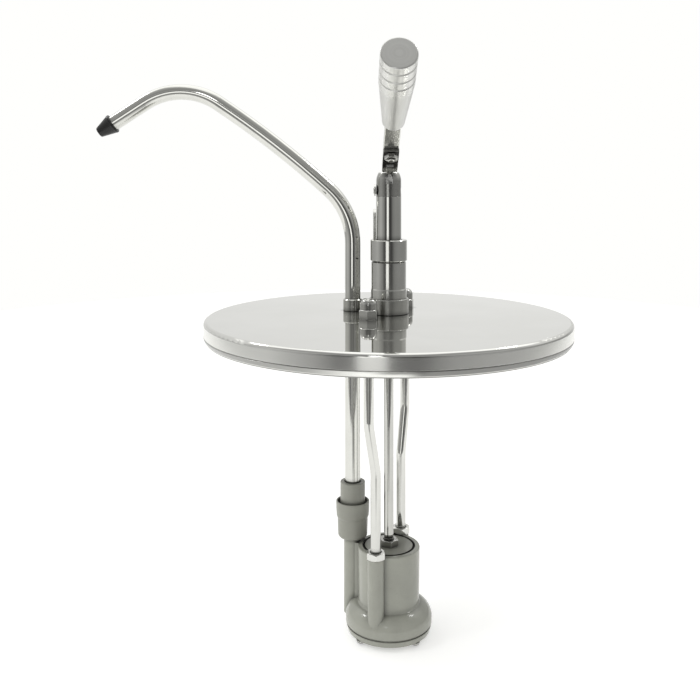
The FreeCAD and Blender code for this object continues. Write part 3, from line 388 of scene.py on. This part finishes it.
use = {
    "lid": "lid", "column_base_ring": "ring", "lower_sleeve": "column", "upper_sleeve": "column", "upper_guide_bushing": "bushing",
    "lower_guide_bushing": "bushing", "spring_washer": "fastener", "return_spring": "wire", "column_washer": "fastener",
    "column_locknut": "fastener", "fulcrum_bracket": "bracket", "fulcrum_pin": "fastener", "fulcrum_spacers": "bushing",
    "bracket_screws": "fastener", "bracket_nuts": "fastener", "tie_rod_front": "rod", "tie_rod_rear": "rod", "acorn_nuts": "fastener",
    "tie_rod_lid_nuts": "fastener", "tie_rod_body_nuts": "nut", "discharge_tube": "spout", "discharge_collar": "collar",
    "discharge_clip": "fastener", "spout_nozzle": "nozzle", "coupling_upper_sleeve": "coupling", "coupling_o_rings": "seal",
    "coupling_lower_sleeve": "coupling", "outlet_stub": "rod", "outlet_ball": "ball", "pump_body": "body", "base_plate": "body",
    "base_o_ring": "seal", "base_screws": "fastener", "inlet_cage": "fastener", "inlet_ball": "ball", "head_cap": "cap",
    "head_tube": "tube", "tube_end_plug": "fastener", "head_pin": "clip", "head_pin_clip": "clip", "plunger_rod": "plunger",
    "piston": "piston", "piston_seal": "seal", "piston_nut": "fastener", "lever_bar": "lever", "lever_yoke": "yoke",
    "lever_screw": "fastener", "lever_nut": "fastener", "knob": "knob",
}
for name, o in nodes.items():
    o.data.materials.clear()
    o.data.materials.append(mats[use[name]])


# ------------------------------------------------------------------ pieces made here
def mesh_piece(name, verts, faces, mat, body):
    me = bpy.data.meshes.new(name)
    me.from_pydata(verts, [], faces)
    me.update()
    for p in me.polygons:
        p.use_smooth = True
    me.materials.append(mats[mat])
    o = bpy.data.objects.new(name, me)
    scene.collection.objects.link(o)
    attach(o, body)
    return o


def swept(centres, radius, sides=12):
    """Round wire through a list of points, with closed ends."""
    pts = [Vector(c) for c in centres]
    verts, faces = [], []
    for i, p in enumerate(pts):
        d = (pts[min(i + 1, len(pts) - 1)] - pts[max(i - 1, 0)]).normalized()
        e1 = d.cross(UP)
        e1 = e1.normalized() if e1.length > 1e-6 else Vector((1, 0, 0))
        e2 = d.cross(e1).normalized()
        r = radius(i / (len(pts) - 1)) if callable(radius) else radius
        for k in range(sides):
            a = 2 * math.pi * k / sides
            verts.append(p + e1 * (r * math.cos(a)) + e2 * (r * math.sin(a)))
    for i in range(len(pts) - 1):
        for k in range(sides):
            a, b = i * sides + k, i * sides + (k + 1) % sides
            faces.append((a, b, b + sides, a + sides))
    faces.append(tuple(range(sides - 1, -1, -1)))
    faces.append(tuple((len(pts) - 1) * sides + k for k in range(sides)))
    return verts, faces


# return spring: round wire coil, its end coils closed up and ground flat
lo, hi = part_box("return_spring")
SR, WR = 0.0069, 0.00065
z0, z1 = lo.z, hi.z
total, closed = 9.0, 1.05
pts = []
steps = 9 * 40
for i in range(steps + 1):
    t = total * i / steps
    rise_end = 2 * WR * 0.96
    if t < closed:
        zz = z0 + WR * 0.9 + rise_end * (t / closed) * 0.98
    elif t > total - closed:
        zz = z1 - WR * 0.9 - rise_end * ((total - t) / closed) * 0.98
    else:
        f = (t - closed) / (total - 2 * closed)
        a0 = z0 + WR * 0.9 + rise_end * 0.98
        a1 = z1 - WR * 0.9 - rise_end * 0.98
        zz = a0 + (a1 - a0) * f
    a = 2 * math.pi * t
    pts.append((AX + SR * math.cos(a), AY + SR * math.sin(a), zz))
v, f = swept(pts, WR, 12)
v = [Vector((p.x, p.y, min(max(p.z, z0 + 0.00002), z1 - 0.00002))) for p in v]
spring = mesh_piece("return_spring_coil", v, f, "wire", "frame")
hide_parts("return_spring")
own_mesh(spring)

# ------------------------------------------------------------------ floor, light and camera
me = bpy.data.meshes.new("floor")
ring = [(1.05 * math.cos(2 * math.pi * k / 96), 0.62 + 1.05 * math.sin(2 * math.pi * k / 96), FLOOR_Z) for k in range(96)]
me.from_pydata(ring, [], [tuple(range(96))])
floor = bpy.data.objects.new("floor", me)
scene.collection.objects.link(floor)
m = Mat("floor_pale")
m.set(color=m.mixc(m.noise(m.obj, 6.0, 3.0), (0.88, 0.88, 0.875), (0.86, 0.86, 0.855)), rough=0.85, spec=0.1)
m.b.inputs["Emission Color"].default_value = (1, 1, 0.995, 1)
lp = m.nt.nodes.new("ShaderNodeLightPath")
fx, fy, fz = m.split(m.obj)
# painted shade: in a wedge in front, the floor's glow and colour are darker for every ray but the camera's, so only its
# reflections and bounce show it
ang = m.math("ARCTAN2", fx, m.math("MULTIPLY", fy, -1.0))
reflection_shade_wedge = m.span(m.math("ABSOLUTE", m.math("SUBTRACT", ang, 0.07)), 0.34, 0.06)
reflection_shade_wedge = m.math("MULTIPLY", reflection_shade_wedge, m.span(fy, -0.17, -0.36))
shade = m.math("SUBTRACT", 0.34, m.math("MULTIPLY", reflection_shade_wedge, 0.34))
m.put(m.b.inputs["Emission Strength"], m.mix(lp.outputs["Is Camera Ray"], shade, 0.42))
dim = m.math("SUBTRACT", 1.0, m.math("MULTIPLY", reflection_shade_wedge, m.math("SUBTRACT", 0.75, m.math("MULTIPLY", lp.outputs["Is Camera Ray"], 0.75))))
m.put(m.b.inputs["Base Color"], m.vec("SCALE", (0.88, 0.88, 0.87), dim))
me.materials.append(m.m)

world = bpy.data.worlds.new("studio")
scene.world = world
world.use_nodes = True
nt = world.node_tree
nt.nodes.clear()


class W(Mat):
    def __init__(self, tree):
        self.nt = tree
        self.tc = tree.nodes.new("ShaderNodeTexCoord")


w = W(nt)
dx, dy, dz = w.split(w.tc.outputs["Generated"])
az = w.math("ARCTAN2", dx, w.math("MULTIPLY", dy, -1.0))
t = w.math("ADD", w.math("DIVIDE", az, 2 * math.pi), 0.5)
ramp = nt.nodes.new("ShaderNodeValToRGB")
nt.links.new(t, ramp.inputs[0])
stops = [(-180, 1.0), (-140, 0.72), (-118, 0.46), (-98, 0.52), (-76, 0.60), (-58, 0.41), (-44, 0.29), (-32, 0.07), (-24, 0.07),
         (0, 0.10), (7, 0.06), (14, 0.03), (20, 0.06), (28, 0.18), (38, 0.27), (60, 0.33), (100, 0.33), (118, 0.34), (134, 0.42), (152, 0.78),
         (168, 1.0), (180, 1.0)]
els = ramp.color_ramp.elements
while len(els) > 1:
    els.remove(els[-1])
els[0].position = 0.0
els[0].color = (stops[0][1],) * 3 + (1,)
for a, v in stops[1:]:
    e = els.new((a + 180) / 360)
    e.color = (v, v, v, 1)
side = ramp.outputs[0]
# how the front of the room changes from low to high
lift = nt.nodes.new("ShaderNodeValToRGB")
nt.links.new(w.math("ADD", w.math("MULTIPLY", dz, 0.5), 0.5), lift.inputs[0])
heights = [(-1.0, 1.0), (-0.66, 1.0), (-0.53, 0.46), (-0.40, 0.28), (-0.26, 0.20), (-0.10, 0.12), (0.04, 0.10), (0.20, 0.25),
           (0.35, 0.42), (0.50, 0.31), (0.66, 0.33), (0.82, 0.40), (0.91, 0.48), (0.96, 1.2), (1.0, 1.4)]
els = lift.color_ramp.elements
while len(els) > 1:
    els.remove(els[-1])
els[0].position = 0.0
els[0].color = (heights[0][1],) * 3 + (1,)
for z, v in heights[1:]:
    e = els.new((z + 1) / 2)
    e.color = (v, v, v, 1)
near = w.math("POWER", w.math("SUBTRACT", 1.0, w.math("ABSOLUTE", dz)), 1.5)
level = w.math("ADD", lift.outputs[0], w.math("MULTIPLY", w.math("SUBTRACT", side, 0.09), near))
rear = w.math("MULTIPLY", w.span(dy, -0.16, 0.30), w.span(w.math("MAXIMUM", dz, w.math("SUBTRACT", -0.12, dz)), 0.05, 0.40))
level = w.mix(rear, level, w.math("ADD", 0.85, w.math("MULTIPLY", w.span(dz, 0.50, 0.66), 0.60)))
# a tall white panel just left of the viewer, kept below the horizon, draws the bright line down the turned parts
panel = w.math("MULTIPLY", w.span(az, math.radians(-21.5), math.radians(-18.0)), w.span(az, math.radians(-0.8), math.radians(-4.2)))
panel = w.math("MULTIPLY", panel, w.math("MULTIPLY", w.span(dz, 0.10, 0.03), w.span(dz, -0.31, -0.25)))
level = w.math("ADD", level, w.math("MULTIPLY", panel, w.mix(w.span(dz, -0.172, -0.205), 1.30, 0.36)))
fill = w.math("ADD", 0.52, w.math("MULTIPLY", w.span(dx, 0.3, -0.9), 0.75))
lp = nt.nodes.new("ShaderNodeLightPath")
level = w.mix(lp.outputs["Is Diffuse Ray"], level, fill)
level = w.mix(lp.outputs["Is Camera Ray"], level, 1.0)
tint = w.vec("SCALE", (1.0, 1.0, 0.985), level)
bg = nt.nodes.new("ShaderNodeBackground")
nt.links.new(tint, bg.inputs[0])
out = nt.nodes.new("ShaderNodeOutputWorld")
nt.links.new(bg.outputs[0], out.inputs[0])


def area(name, loc, target, size, power):
    li = bpy.data.lights.new(name, "AREA")
    li.shape = "DISK"
    li.size = size
    li.energy = power
    o = bpy.data.objects.new(name, li)
    scene.collection.objects.link(o)
    o.location = loc
    o.rotation_euler = (Vector(target) - Vector(loc)).to_track_quat("-Z", "Y").to_euler()
    o.visible_camera = False
    return o


area("light_front", (-0.05, -1.05, 0.70), (0, 0, -0.1), 0.24, 1.3).visible_glossy = False
area("light_front_spot", (-0.170, -1.040, 0.545), (0, 0, -0.1), 0.16, 0.34).visible_diffuse = False
area("light_left", (-1.00, -0.35, 0.80), (0, 0, -0.1), 0.22, 1.6).visible_glossy = False
area("light_right", (0.95, -0.25, 0.75), (0, 0, -0.1), 0.17, 0.95).visible_glossy = False
# two lamps behind draw the bright spots on the moulded shoulder
area("light_back_left", (-0.750, 0.348, 0.827), (0, 0, -0.1), 0.17, 1.1).visible_diffuse = False
area("light_back_right", (0.590, 0.423, 0.838), (0, 0, -0.1), 0.15, 0.9).visible_diffuse = False

cam_data = bpy.data.cameras.new("camera")
cam = bpy.data.objects.new("camera", cam_data)
scene.collection.objects.link(cam)
cam.location = (-0.0236, -0.5539, 0.0919)
cam.rotation_euler = (math.radians(90), 0, 0)
cam_data.sensor_width = 36.0
cam_data.lens = 44.96
cam_data.clip_start, cam_data.clip_end = 0.01, 50.0
# the front view is a level camera with a lowered lens; from anywhere else the lens is centred
drv = cam_data.driver_add("shift_y").driver
drv.type = "SCRIPTED"
var = drv.variables.new()
var.name = "y"
var.type = "TRANSFORMS"
var.targets[0].id = cam
var.targets[0].transform_type = "LOC_Y"
var.targets[0].transform_space = "WORLD_SPACE"
drv.expression = "-0.2529 if abs(y + 0.5539) < 0.0005 else 0.0"
scene.camera = cam
